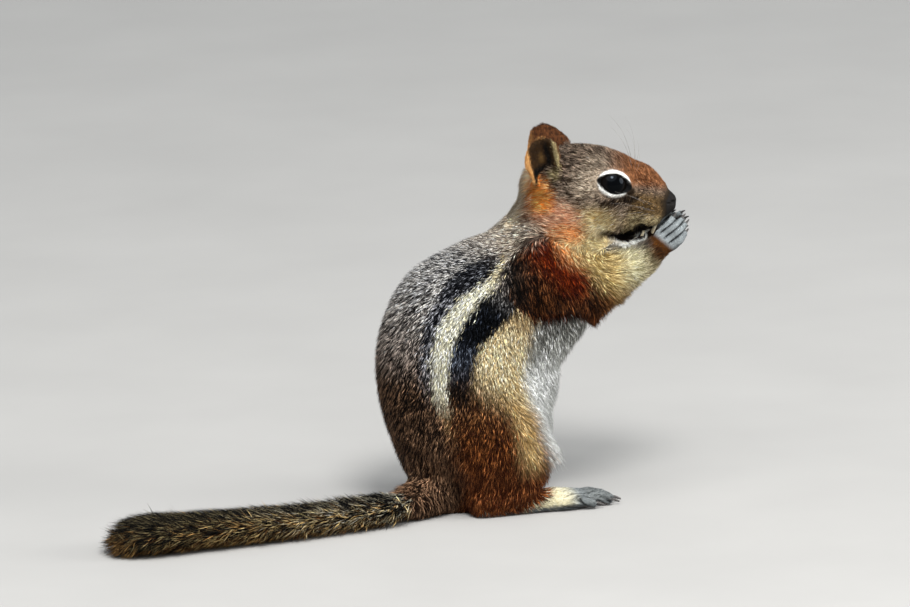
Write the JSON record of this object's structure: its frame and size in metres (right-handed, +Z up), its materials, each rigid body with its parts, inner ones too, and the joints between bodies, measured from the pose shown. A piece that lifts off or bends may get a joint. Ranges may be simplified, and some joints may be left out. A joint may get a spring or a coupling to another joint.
{
  "type": "golden-mantled ground squirrel",
  "caption": "Ground squirrel sitting upright on its haunches, both hands at its mouth, head turned to its right and tail laid along the floor behind it.",
  "frame": {"origin": "centre of the bounding box in plan, on the floor that the animal sits on", "axes": "+X the way the trunk faces, +Y towards the animal's left, +Z up"},
  "size_m": [0.1962, 0.0584, 0.1159],
  "materials": {
    "fur": "soft striped coat",
    "tail_fur": "coarse grizzled coat",
    "paw": "short-haired skin",
    "eye": "wet and glossy",
    "claw": "satin horn",
    "tooth": "enamel"
  },
  "bodies": {
    "root": {"ear_left": "fur", "ear_right": "fur", "eye_left": "eye", "eye_right": "eye", "finger_claw_left_1": "claw", "finger_claw_left_2": "claw", "finger_claw_left_3": "claw", "finger_claw_left_4": "claw", "finger_claw_right_1": "claw", "finger_claw_right_2": "claw", "finger_claw_right_3": "claw", "finger_claw_right_4": "claw", "foot_left": "paw", "foot_right": "paw", "forearm_left": "fur", "forearm_right": "fur", "hand_left": "paw", "hand_right": "paw", "head": "fur", "lower_incisor_left": "tooth", "lower_incisor_right": "tooth", "neck": "fur", "tail_end": "tail_fur", "tail_middle": "tail_fur", "tail_root": "tail_fur", "thigh_left": "fur", "thigh_right": "fur", "toe_claw_left_1": "claw", "toe_claw_left_2": "claw", "toe_claw_left_3": "claw", "toe_claw_left_4": "claw", "toe_claw_left_5": "claw", "toe_claw_right_1": "claw", "toe_claw_right_2": "claw", "toe_claw_right_3": "claw", "toe_claw_right_4": "claw", "toe_claw_right_5": "claw", "trunk": "fur", "upper_arm_left": "fur", "upper_arm_right": "fur", "upper_incisor_left": "tooth", "upper_incisor_right": "tooth"}
  },
  "joints": []
}
